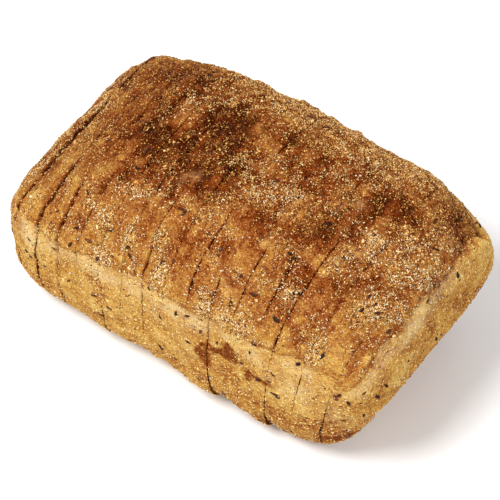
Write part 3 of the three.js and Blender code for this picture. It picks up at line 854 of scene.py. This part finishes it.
def piece_mesh(piece):
    """The closed crust of one piece: the grid moved out by its relief and worn at its cut
    edges, and each cut face or end middle closed by rings and a fan."""
    heel = piece in (0, PIECES - 1)
    flip = piece == 0
    smooth_grid, near, far = heel_grid(piece) if heel else slice_grid(piece)
    normal = grid_normals(smooth_grid, flip)
    y, z = smooth_grid[..., 1], smooth_grid[..., 2]
    out = relief(smooth_grid, normal)
    drop = edge_drop(near, edge_radius(piece, 1, y, z))
    drop = drop + edge_drop(far, edge_radius(piece + 1, -1, y, z))
    share = np.linspace(0, 1, len(near))[:, None]
    own = smooth_grid + PIECES_APART * piece
    stand = (1 - share) * lumps(own, NEAR_STAND) + share * lumps(own, FAR_STAND)
    stand = stand * STAND * smooth(4, 30, z) * (WORN_STAND if piece <= LAST_WORN_CUT else 1)
    if piece == 0:
        stand = stand + HEEL_STAND * np.exp(-far / HEEL_STAND_REACH) * smooth(50, 60, z)
    grid = smooth_grid + normal * (out + stand - drop - drawn_in(smooth_grid, normal))[..., None]
    grid[..., 2] = np.maximum(grid[..., 2], np.where(z < 0.05, 0.0, 0.02))

    stations, around = grid.shape[:2]
    index = np.arange(stations * around).reshape(stations, around)
    vertices = [grid.reshape(-1, 3)]
    fine = out - lumps(smooth_grid, DENTS) * smooth(0.5, 5, z)
    bake_and_shade = bake_and_shade_of(smooth_grid, normal, fine)
    # Painted shade: the rounded cut edges and the crust along each cut are darkened.
    bake_and_shade = bake_and_shade + WORN_EDGE_SHADE * np.clip(1.4 * drop, 0, 1) * (bake_and_shade > 0.45)
    bake_and_shade = bake_and_shade + edge_shade(piece, near, y, z) + edge_shade(piece + 1, far, y, z)
    looks = {
        "bake_and_shade": np.clip(bake_and_shade, 0, 1).reshape(-1),
        "cream": cream_of(smooth_grid, normal).reshape(-1),
        "scorch_and_shade": scorch_and_foot_shade_of(smooth_grid).reshape(-1),
        "gritty": grit_of(smooth_grid).reshape(-1),
    }
    count = stations * around
    collars, triangles, crumb_quads = [], [], []

    def close(ring_index, ring_points, first):
        """Browned crust as thick as the collar, a ring of crumb, then a fan to the middle."""
        nonlocal count
        middle = ring_points.mean(0)
        rings = [middle + (ring_points - middle) * share for share in (COLLAR, HOLLOW)]
        vertices.extend([*rings, middle[None]])
        loops = [ring_index, count + np.arange(around), count + around + np.arange(around)]
        centre = np.full(around, count + 2 * around)
        count += 2 * around + 1
        after = [np.roll(loop, -1) for loop in loops]
        browned, band = (np.stack([loops[i], after[i], after[i + 1], loops[i + 1]], -1)
                         for i in (0, 1))
        fan = np.stack([loops[2], after[2], centre], -1)
        for kept, made in ((collars, browned), (crumb_quads, band), (triangles, fan)):
            kept.append(made[:, ::-1] if first else made)
        browning = CRUMB_COLLAR_BAKE + 0.46 * smooth(10, 26, ring_points[:, 2])
        for name in looks:
            collar = browning if name == "bake_and_shade" else np.zeros(around)
            looks[name] = np.concatenate([looks[name], collar, np.zeros(around + 1)])

    skin_triangles = np.zeros((0, 3), int)
    if heel:
        vertices.append(grid[-1].mean(0)[None])
        skin_triangles = np.stack(
            [index[-1], np.full(around, count), np.roll(index[-1], -1)], -1)
        for name in looks:
            looks[name] = np.append(looks[name], looks[name][index[-1]].mean())
        count += 1
    close(index[0], grid[0], True)
    if not heel:
        close(index[-1], grid[-1], False)

    faces = [np.concatenate([ring_quads(index), *collars]), skin_triangles,
             np.concatenate(crumb_quads), np.concatenate(triangles)]
    if flip:
        faces = [f[:, ::-1] for f in faces]
    return {
        "vertices": np.concatenate(vertices), "faces": faces, "finish": [0, 0, 1, 1],
        "looks": looks, "grid": grid, "normal": grid_normals(grid, flip), "smooth": smooth_grid,
    }


# ---------------- making Blender objects
def make_object(name, vertices, face_groups, finishes, materials, looks=None, smooth_faces=True):
    """A mesh object in metres at the origin, with one material number for each face group."""
    mesh = bpy.data.meshes.new(name)
    faces = [row for group in face_groups for row in group.tolist()]
    mesh.from_pydata((vertices * MM).tolist(), [], faces)
    numbers = np.concatenate([np.full(len(g), f) for g, f in zip(face_groups, finishes)])
    for material in materials:
        mesh.materials.append(material)
    mesh.polygons.foreach_set("material_index", numbers.astype(np.int32))
    mesh.polygons.foreach_set("use_smooth", np.full(len(faces), smooth_faces))
    for key, values in (looks or {}).items():
        layer = mesh.attributes.new(key, "FLOAT", "POINT")
        layer.data.foreach_set("value", values.astype(np.float32))
    mesh.update()
    return add_item(name, mesh)


# ---------------- grits, bran and seeds
def gem(sides, waist):
    """A small angular grain: a ring of points with a point above and below it."""
    angle = 2 * math.pi * np.arange(sides) / sides
    ring = np.stack([0.5 * np.cos(angle), 0.5 * np.sin(angle), waist * np.cos(2.5 * angle)], -1)
    points = np.concatenate([ring, [[0, 0, 0.5], [0, 0, -0.5]]])
    i = np.arange(sides)
    j = (i + 1) % sides
    above = np.stack([i, j, np.full(sides, sides)], -1)
    below = np.stack([j, i, np.full(sides, sides + 1)], -1)
    return points, np.concatenate([above, below])


def seed_shape(sides, rings):
    """A linseed: an ellipsoid of unit length, drawn out to a blunt point at one end."""
    along = -np.cos(math.pi * np.arange(1, rings) / rings)
    radius = np.sqrt(1 - along ** 2) * (1 - 0.28 * smooth(-0.3, 1.0, along))
    angle = 2 * math.pi * np.arange(sides) / sides
    ring = np.stack([
        radius[:, None] * np.cos(angle) / 2, np.repeat(along[:, None], sides, 1) / 2,
        radius[:, None] * np.sin(angle) / 2,
    ], -1).reshape(-1, 3)
    points = np.concatenate([ring, [[0, -0.5, 0], [0, 0.5, 0]]])
    index = np.arange((rings - 1) * sides).reshape(rings - 1, sides)
    after = np.roll(index, -1, axis=1)
    quads = ring_quads(index)
    foot = np.stack([index[0], after[0], np.full(sides, index.size)], -1)
    tip = np.stack([after[-1], index[-1], np.full(sides, index.size + 1)], -1)
    triangles = np.concatenate([quads[:, [0, 1, 2]], quads[:, [0, 2, 3]], foot, tip])
    return points, triangles


def crust_samples(skins):
    """Every quad of the crust: its corners, normal, area and the smooth form's place."""
    corners = np.concatenate([ring_quads(skin["grid"]) for skin in skins])
    normals, places = (np.concatenate([skin[key][:-1].reshape(-1, 3) for skin in skins])
                       for key in ("normal", "smooth"))
    a, b, c = (corners[:, i] - corners[:, 0] for i in (1, 2, 3))
    halves = np.cross(a, b), np.cross(b, c)
    area = sum(np.linalg.norm(half, axis=1) for half in halves) / 2
    return corners, normals, places, area


def pick_places(rng, samples, weight, count):
    """Random places on the crust, chosen in proportion to area times weight."""
    corners, normals, _, area = samples
    chance = area * weight
    chosen = rng.choice(len(chance), size=count, p=chance / chance.sum())
    u, v = rng.random((count, 1)), rng.random((count, 1))
    c = corners[chosen]
    point = (c[:, 0] * (1 - u) + c[:, 1] * u) * (1 - v) + (c[:, 3] * (1 - u) + c[:, 2] * u) * v
    return point, normals[chosen]


def turned_frames(rng, normals, lean):
    """A turned and slightly tilted set of axes on every normal."""
    out = normals + lean * rng.normal(size=normals.shape)
    out /= np.linalg.norm(out, axis=1, keepdims=True)
    helper = np.where(np.abs(out[:, 2:]) < 0.9, [[0, 0, 1.0]], [[1.0, 0, 0]])
    a = np.cross(helper, out)
    a /= np.linalg.norm(a, axis=1, keepdims=True)
    b = np.cross(out, a)
    angle = rng.random((len(out), 1)) * 2 * math.pi
    c, s = np.cos(angle), np.sin(angle)
    return np.stack([a * c + b * s, b * c - a * s, out], 1)


def scattered(rng, shape, places, frames, sizes, sink, jitter):
    """Copies of a shape as one mesh: scaled, roughened, turned and set on their places."""
    points, faces = shape
    count, each = len(places), len(points)
    local = points[None] * sizes[:, None] * (1 + jitter * rng.normal(size=(count, each, 3)))
    local[..., 2] += (0.5 - sink) * sizes[:, None, 2]
    world = np.einsum("nvi,nij->nvj", local, frames) + places[:, None]
    index = (faces[None] + each * np.arange(count)[:, None, None]).reshape(-1, 3)
    return world.reshape(-1, 3), index, each


# ---------------- materials
LIGHT_GAIN = 1.18


def srgb(red, green, blue):
    """A colour given as it looks when lit, 0 to 255 as on a screen, as Blender's linear
    colour before the light, which is a little stronger than one."""
    value = np.array([red, green, blue]) / 255
    linear = np.where(value <= 0.04045, value / 12.92, ((value + 0.055) / 1.055) ** 2.4)
    return (*(linear / LIGHT_GAIN).tolist(), 1.0)


class Nodes:
    """A material's node tree, with short calls for the nodes that this loaf uses."""

    def __init__(self, name):
        """A new material of this name: one shader, and the object's own coordinates."""
        self.material = bpy.data.materials.new(name)
        self.material.use_nodes = True
        self.tree = self.material.node_tree
        self.tree.nodes.clear()
        self.shader = self.tree.nodes.new("ShaderNodeBsdfPrincipled")
        surface = self.tree.nodes.new("ShaderNodeOutputMaterial").inputs["Surface"]
        self.put(self.shader.outputs[0], surface)
        self.coordinates = self.tree.nodes.new("ShaderNodeTexCoord").outputs["Object"]

    def put(self, value, socket):
        """Sets a socket to a plain value, or links another node's output to it."""
        if isinstance(value, (int, float, tuple)):
            socket.default_value = value
        else:
            self.tree.links.new(value, socket)

    def set(self, name, value):
        """Puts a value on the shader's socket of this name."""
        self.put(value, self.shader.inputs[name])

    def node(self, kind, **inputs):
        """A new node of this kind, with values put on its named sockets."""
        node = self.tree.nodes.new(kind)
        for name, value in inputs.items():
            self.put(value, node.inputs[name])
        return node

    def attribute(self, name):
        """The value that the mesh carries under this name."""
        node = self.node("ShaderNodeAttribute")
        node.attribute_name = name
        return node.outputs["Fac"]

    def pattern(self, kind, size_mm, output):
        """A texture whose features are about this large."""
        node = self.node(kind, Scale=1 / (size_mm * MM), Vector=self.coordinates)
        return node.outputs[output]

    def noise(self, size_mm):
        """Soft lumps of this size."""
        return self.pattern("ShaderNodeTexNoise", size_mm, "Fac")

    def cells(self, size_mm, output="Color"):
        """Cells of this size: a value for each, or the distance from its middle."""
        return self.pattern("ShaderNodeTexVoronoi", size_mm, output)

    def mottled(self, size_mm, low, high):
        """Soft unevenness with lumps of this size, from one value to another."""
        return self.scaled(self.noise(size_mm), 0.3, 0.7, low, high)

    def spots(self, size_mm, core, rim, inside=1.0, outside=0.0):
        """Spots about this far apart: one value from their middles to the core, another
        from the rim on."""
        return self.scaled(self.cells(size_mm, "Distance"), core, rim, inside, outside)

    def math(self, operation, first, second, clamp=False):
        """Two values joined by an operation, kept from 0 to 1 if clamped."""
        node = self.node("ShaderNodeMath")
        node.operation = operation
        node.use_clamp = clamp
        self.put(first, node.inputs[0])
        self.put(second, node.inputs[1])
        return node.outputs[0]

    def times(self, first, second, clamp=False):
        """The product of two values."""
        return self.math("MULTIPLY", first, second, clamp)

    def scaled(self, value, low, high, to_low=0.0, to_high=1.0):
        """A value from low to high, moved to run from to_low to to_high."""
        node = self.node("ShaderNodeMapRange")
        for socket, number in zip(node.inputs, (value, low, high, to_low, to_high)):
            self.put(number, socket)
        return node.outputs["Result"]

    def ramp(self, value, stops):
        """The colour that the stops have at this value."""
        node = self.node("ShaderNodeValToRGB", Fac=value)
        elements = node.color_ramp.elements
        while len(elements) < len(stops):
            elements.new(0.5)
        for element, (place, colour) in zip(elements, stops):
            element.position = place
            element.color = colour
        return node.outputs["Color"]

    def mix(self, share, first, second):
        """Two colours, with this share of the second."""
        node = self.node("ShaderNodeMix")
        node.data_type = "RGBA"
        sockets = {socket.identifier: socket for socket in node.inputs}
        for key, value in (("Factor_Float", share), ("A_Color", first), ("B_Color", second)):
            self.put(value, sockets[key])
        return next(socket for socket in node.outputs if socket.identifier == "Result_Color")

    def bump(self, height, distance_mm, strength, below=None):
        """A normal raised by this height, over the one below it."""
        node = self.node("ShaderNodeBump", Distance=distance_mm * MM, Strength=strength,
                         Height=height)
        if below:
            self.put(below, node.inputs["Normal"])
        return node.outputs["Normal"]


CREAM = srgb(236, 206, 152)
# Scorch browns, which also paint the shade along the right heel's foot.
SCORCH_AND_SHADE_BROWN = srgb(144, 70, 20)
SCORCH_AND_SHADE_CORE = srgb(92, 38, 12)
PALE_BRAN = srgb(228, 174, 88)
GRIT_GAP_SHADE = srgb(70, 26, 6)
PINPRICK = srgb(84, 38, 14)
# Crumb colour runs from painted shade in the pores' middles to cream between them.
CRUMB_AND_PORE_SHADE_STOPS = ((0.0, srgb(150, 108, 62)), (1.0, srgb(226, 202, 158)))
# Unevenness of the bake within the material: sizes in millimetres and how far it shifts.
BAKE_MOTTLES = ((6.0, 0.08), (1.7, 0.18), (0.62, 0.36))
# How far apart small spots, painted shade between grits and crumb pores are, in millimetres.
SPECK_SIZE = 0.72
BRAN_SIZE = 0.95
GRIT_GAP_SHADE_SIZE = 1.15
PINPRICK_SIZE = 1.9
PORE_SIZE = 1.6
CRUST_SHINE = 0.015
BAKE_STOPS = (
    (0.0, srgb(234, 198, 124)), (0.22, srgb(220, 175, 91)), (0.38, srgb(199, 144, 65)),
    (0.57, srgb(170, 105, 51)), (0.76, srgb(128, 54, 13)), (1.0, srgb(54, 16, 3)),
)


def crust_material():
    """Baked crust: its colour runs from pale gold to dark brown with the bake_and_shade attribute,
    which also carries painted shade along the cuts and in hollows, and is broken up by
    unevenness of three sizes, fine pale bran, painted shade between the grits and pinpricks."""
    n = Nodes("baked_crust")
    gritty = n.attribute("gritty")
    bake_and_shade = n.attribute("bake_and_shade")
    for size, shift in BAKE_MOTTLES:
        bake_and_shade = n.math("ADD", bake_and_shade, n.mottled(size, -shift / 2, shift / 2))
    colour = n.ramp(bake_and_shade, BAKE_STOPS)

    bran = n.spots(BRAN_SIZE, 0.10, 0.26)
    bran = n.times(bran, n.scaled(n.noise(3.2), 0.44, 0.62))
    bran = n.times(bran, n.scaled(n.attribute("bake_and_shade"), 0.58, 0.8, 0.5, 0.15))
    colour = n.mix(bran, colour, PALE_BRAN)

    speck = n.times(n.scaled(n.cells(SPECK_SIZE), 0.35, 0.75), gritty)
    speck = n.times(speck, n.spots(SPECK_SIZE, 0.22, 0.44), clamp=True)
    colour = n.mix(speck, colour, PALE_BRAN)

    # Painted shade: the gaps between grits are darkened where shadow would fall.
    grit_gap_shade = n.spots(GRIT_GAP_SHADE_SIZE, 0.46, 0.7, 0.0, 0.8)
    colour = n.mix(n.times(grit_gap_shade, gritty, clamp=True), colour, GRIT_GAP_SHADE)

    cream = n.times(n.attribute("cream"), n.mottled(1.3, 0.55, 1.0), clamp=True)
    colour = n.mix(cream, colour, CREAM)

    # Scorches, and the painted shade along the right heel's foot, darken the colour here.
    scorch_and_shade = n.times(n.attribute("scorch_and_shade"), n.mottled(1.1, 0.7, 1.2), clamp=True)
    colour = n.mix(scorch_and_shade, colour, SCORCH_AND_SHADE_BROWN)
    colour = n.mix(n.scaled(scorch_and_shade, 0.85, 1.0, 0.0, 0.6), colour, SCORCH_AND_SHADE_CORE)

    pinpricks = n.spots(PINPRICK_SIZE, 0.06, 0.12, 0.55)
    n.set("Base Color", n.mix(pinpricks, colour, PINPRICK))
    n.set("Roughness", n.mottled(2.4, 0.60, 0.80))
    n.set("Specular IOR Level", CRUST_SHINE)
    fine = n.bump(n.noise(0.5), 0.6, 0.9)
    n.set("Normal", n.bump(n.cells(1.0, "Distance"), 0.5, 0.7, below=fine))
    return n.material


def crumb_material():
    """Soft crumb on the cut faces: cream, with open pores whose middles are darker, a painted
    shade.
    """
    n = Nodes("soft_crumb")
    pores = n.spots(PORE_SIZE, 0.15, 0.45, 0.0, 1.0)
    n.set("Base Color", n.ramp(pores, CRUMB_AND_PORE_SHADE_STOPS))
    n.set("Roughness", 0.9)
    n.set("Normal", n.bump(pores, 0.6, 0.6))
    return n.material


def grain_material(name, stops, roughness, shine=0.3):
    """Grits, bran or seeds: each has one tone, with a little mottling of its own."""
    n = Nodes(name)
    tone = n.math("ADD", n.attribute("tone"), n.mottled(0.5, -0.07, 0.07))
    n.set("Base Color", n.ramp(tone, stops))
    n.set("Roughness", roughness)
    n.set("Specular IOR Level", shine)
    return n.material


# The near-white top stops are partly real pale grits and partly painted glints.
GRIT_STOPS = (
    (0.0, srgb(100, 42, 12)), (0.3, srgb(170, 96, 34)), (0.6, srgb(222, 158, 68)),
    (0.85, srgb(250, 214, 138)), (1.0, srgb(255, 246, 212)),
)
BRAN_STOPS = ((0.0, srgb(150, 84, 28)), (0.5, srgb(222, 164, 70)), (1.0, srgb(255, 226, 146)))
SEED_STOPS = ((0.0, srgb(44, 18, 8)), (0.5, srgb(80, 38, 17)), (1.0, srgb(134, 72, 32)))


# ---------------- camera, light and floor
PHOTO_WIDTH = 500
LENS_IN_PIXELS = 2833
SENSOR_MM = 36
CAMERA_AZIMUTH = 34.91
CAMERA_ELEVATION = 55.34
CAMERA_DISTANCE = 1.316
LOOK_AT = (-0.00025, 0.0024, 0.040)
FLOOR_REACH = 4.0
FLOOR_WHITE = (0.92, 0.92, 0.92, 1.0)
SKY_STRENGTH = 0.56
# Lights: name, azimuth, elevation, distance and size in metres, and power in watts.
LIGHTS = (("key", -25, 62, 1.3, 0.5, 15.5), ("fill", 75, 42, 1.5, 1.0, 7.5))


def direction(azimuth, elevation):
    """The unit vector towards an azimuth (0 is the front, 90 the right end) and elevation."""
    a, e = math.radians(azimuth), math.radians(elevation)
    return np.array([math.sin(a) * math.cos(e), -math.cos(a) * math.cos(e), math.sin(e)])


def aim(item, place, target):
    """Stands an item at a place, facing the target, with its top up."""
    item.location = place
    item.rotation_euler = Vector(np.asarray(target) - place).to_track_quat("-Z", "Y").to_euler()


def add_item(name, data):
    """A new object in the scene around this data."""
    item = bpy.data.objects.new(name, data)
    bpy.context.scene.collection.objects.link(item)
    return item


def make_camera():
    """The photograph's camera: LENS_IN_PIXELS over the picture's width is its focal length."""
    data = bpy.data.cameras.new("photo_camera")
    data.sensor_width = SENSOR_MM
    data.lens = LENS_IN_PIXELS / PHOTO_WIDTH * SENSOR_MM
    camera = add_item("photo_camera", data)
    towards = direction(CAMERA_AZIMUTH, CAMERA_ELEVATION)
    aim(camera, np.array(LOOK_AT) + CAMERA_DISTANCE * towards, LOOK_AT)
    bpy.context.scene.camera = camera


def make_light(name, azimuth, elevation, distance, size, power):
    """A round soft light that faces the loaf from this direction and distance."""
    data = bpy.data.lights.new(name, "AREA")
    data.shape = "DISK"
    data.size = size
    data.energy = power
    place = np.array(LOOK_AT) + distance * direction(azimuth, elevation)
    aim(add_item(name, data), place, LOOK_AT)


def make_stage():
    """A wide white floor, one soft key light, one softer fill and an even pale sky."""
    mesh = bpy.data.meshes.new("floor")
    far = FLOOR_REACH
    corners = [(-far, -far, 0), (far, -far, 0), (far, far, 0), (-far, far, 0)]
    mesh.from_pydata(corners, [], [(0, 1, 2, 3)])
    floor = add_item("floor", mesh)
    n = Nodes("pale_floor")
    n.set("Base Color", FLOOR_WHITE)
    n.set("Roughness", 0.9)
    mesh.materials.append(n.material)
    for light in LIGHTS:
        make_light(*light)
    world = bpy.data.worlds.new("sky")
    world.use_nodes = True
    background = world.node_tree.nodes["Background"]
    background.inputs["Color"].default_value = (1, 1, 1, 1)
    background.inputs["Strength"].default_value = SKY_STRENGTH
    bpy.context.scene.world = world
    bpy.context.scene.view_settings.view_transform = "Standard"
    bpy.context.scene.view_settings.look = "None"


# ---------------- building the loaf
SEED = 20
GRAIN_JITTER = 0.12
LINSEED_JITTER = 0.05

make_camera()
make_stage()

crust = crust_material()
crumb = crumb_material()
skins = []
nodes = ["heel_left", *(f"slice_{piece:02d}" for piece in range(1, PIECES - 1)), "heel_right"]
for piece, node in enumerate(nodes):
    slot = "crust_brown" if node.startswith("slice") else "crust_pale"
    made = piece_mesh(piece)
    skins.append(made)
    item = make_object(node + "_crust", made["vertices"], made["faces"], made["finish"],
                       [crust, crumb], made["looks"])
    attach(item, "root")
    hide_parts(node)

rng = np.random.default_rng(SEED)
samples = crust_samples(skins)
_, sample_normals, sample_places, _ = samples
thick = grit_of(sample_places)
above_samples = above_rim(sample_places)
on_crown = smooth(-1, 2, above_samples)
on_side = smooth(1.2, -1, above_samples) + 0.2
rim_crack = smooth(0.4, 0.8, sample_normals[:, 0]) * hump(above_samples, -1, 1.2)
flecked = (0.3 + thick) * smooth(-0.2, 0.7, uneven(sample_places, 7, 70))
flecked = flecked + 0.8 * clump_of(sample_places)
flecked = flecked + 5 * rim_crack * smooth(-8, 12, sample_places[:, 1])
shown = smooth(0.5, 4, sample_places[:, 2]) * (1 - 0.85 * scorch_and_foot_shade_of(sample_places))

grit_finish = grain_material("barley_grits", GRIT_STOPS, 0.45, 0.25)
bran_finish = grain_material("bran_flakes", BRAN_STOPS, 0.6)
seed_finish = grain_material("linseed_coats", SEED_STOPS, 0.5, 0.12)

# Grains: name, how many, sides, waist, finish, slot, where they lie, length, width and
# thickness, spread of the sizes, how deep they sit, how far they lean, tone and its spread.
GRAINS = (
    ("golden_grits", 28000, 3, 0.12, grit_finish, "barley_grit", thick,
     (0.66, 0.5, 0.42), 0.28, 0.35, 0.4, 0.32, 0.16),
    ("cream_grits", 27000, 3, 0.12, grit_finish, "barley_grit", thick ** 1.35,
     (0.5, 0.41, 0.4), 0.25, 0.2, 0.4, 0.70, 0.15),
    # White grits: partly real pale barley, partly painted glints.
    ("white_grits_and_glints", 14000, 3, 0.12, grit_finish, "barley_grit",
     0.05 + 0.12 * on_crown + thick ** 1.3, (0.7, 0.56, 0.48), 0.25, 0.12, 0.4, 0.96, 0.06),
    ("coarse_barley_grits", 2200, 6, 0.1, grit_finish, "barley_grit", thick ** 1.6,
     (1.1, 0.8, 0.62), 0.25, 0.5, 0.35, 0.5, 0.2),
    ("side_bran", 32000, 3, 0.05, bran_finish, "barley_grit", on_side,
     (0.95, 0.7, 0.45), 0.3, 0.5, 0.2, 0.55, 0.32),
    ("dark_flecks", 3000, 4, 0.08, seed_finish, "linseed", flecked,
     (1.1, 0.7, 0.4), 0.3, 0.5, 0.25, 0.75, 0.25),
)


def darker_grits(places):
    """How much darker grits are in the dark patches, at the back and at the left end."""
    darker = 0.55 * dark_patch_of(places) + 0.16 * smooth(20, 45, places[:, 1])
    return darker + 0.10 * smooth(-45, -65, places[:, 0])


for (name, count, sides, waist, finish, slot, where, size, size_spread, sunk, lean, tone,
     tone_spread) in GRAINS:
    places, normals = pick_places(rng, samples, where * shown, count)
    sizes = np.exp(size_spread * rng.normal(size=(count, 1))) * np.array(size)
    sizes = sizes * np.exp(0.5 * size_spread * rng.normal(size=(count, 3)))
    tones = rng.normal(tone, tone_spread, count)
    if finish is grit_finish:
        tones = tones - darker_grits(places)
    frames = turned_frames(rng, normals, lean)
    vertices, faces, each = scattered(rng, gem(sides, waist), places, frames, sizes, sunk,
                                      GRAIN_JITTER)
    item = make_object(name, vertices, [faces], [0], [finish],
                       {"tone": np.repeat(np.clip(tones, 0, 1), each)}, False)
    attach(item, "root")


def nearest_samples(targets, axes, mask):
    """Numbers of the crust quads whose named coordinates come nearest to each target."""
    allowed = np.flatnonzero(mask)
    found = []
    for target in targets:
        gap = np.sum((sample_places[allowed][:, axes] - np.array(target)) ** 2, axis=1)
        found.append(allowed[np.argmin(gap)])
    return np.array(found)


def seed_frames(normals, turns):
    """Axes on every normal: across the seed, along it and outwards. Along runs round the
    loaf, or level on an end face, and is then turned in the plane of the crust."""
    x, y, z = normals.T
    round_it, level = np.stack([0 * x, z, -y], 1), np.stack([-y, x, 0 * x], 1)
    along = np.where(np.abs(x)[:, None] < 0.7, round_it, level)
    along = along - np.sum(along * normals, axis=1, keepdims=True) * normals
    along = along / np.linalg.norm(along, axis=1, keepdims=True)
    across = np.cross(along, normals)
    c, s = np.cos(turns)[:, None], np.sin(turns)[:, None]
    return np.stack([c * across + s * along, c * along - s * across, normals], 1)


crown_seeds = CROWN_SEEDS + tuple((x + 2.1, y - 1.5) for x, y in CROWN_SEEDS[::2])
chosen = np.concatenate([
    nearest_samples(SEED_PLACES, [0, 1, 2], sample_places[:, 2] > 0.5),
    nearest_samples(crown_seeds, [0, 1], sample_places[:, 2] > 62),
    nearest_samples(FRONT_SEEDS, [0, 2], sample_places[:, 1] < -30),
    nearest_samples(END_SEEDS, [1, 2], sample_places[:, 0] > 85),
])
count = len(chosen)
by_rule = len(SEED_NUMBERS)
seed_size = rng.uniform(0.65, 1.0, count)
seed_size[:by_rule] = 1 + SIZE_SPREAD * (2 * even_one(SEED_NUMBERS) - 1)
turns = rng.uniform(0, math.pi, count)
turns[:by_rule] = math.pi * ((0.17 + 0.4142135624 * SEED_NUMBERS) % 1)
seed_thickness = np.full(count, LINSEED_THICKNESS)
sizes = np.stack([LINSEED_WIDTH * seed_size, LINSEED_LENGTH * seed_size, seed_thickness], 1)
sunk = np.clip(rng.normal(0.77, 0.07, count), 0.62, 0.88)[:, None]
sunk[by_rule:] -= 0.1
seed_normals = samples[1][chosen]
seed_points = samples[0][chosen].mean(1) - seed_normals * (sunk - 0.5) * sizes[:, 2:]
frames = seed_frames(seed_normals, turns)
vertices, faces, each = scattered(rng, seed_shape(9, 7), seed_points, frames, sizes, 0.5,
                                  LINSEED_JITTER)
tones = rng.normal(0.4, 0.24, count)
tones[by_rule:] -= 0.2
tones = np.repeat(np.clip(tones, 0, 1), each)
seeds = make_object("linseeds", vertices, [faces], [0], [seed_finish], {"tone": tones})
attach(seeds, "root")
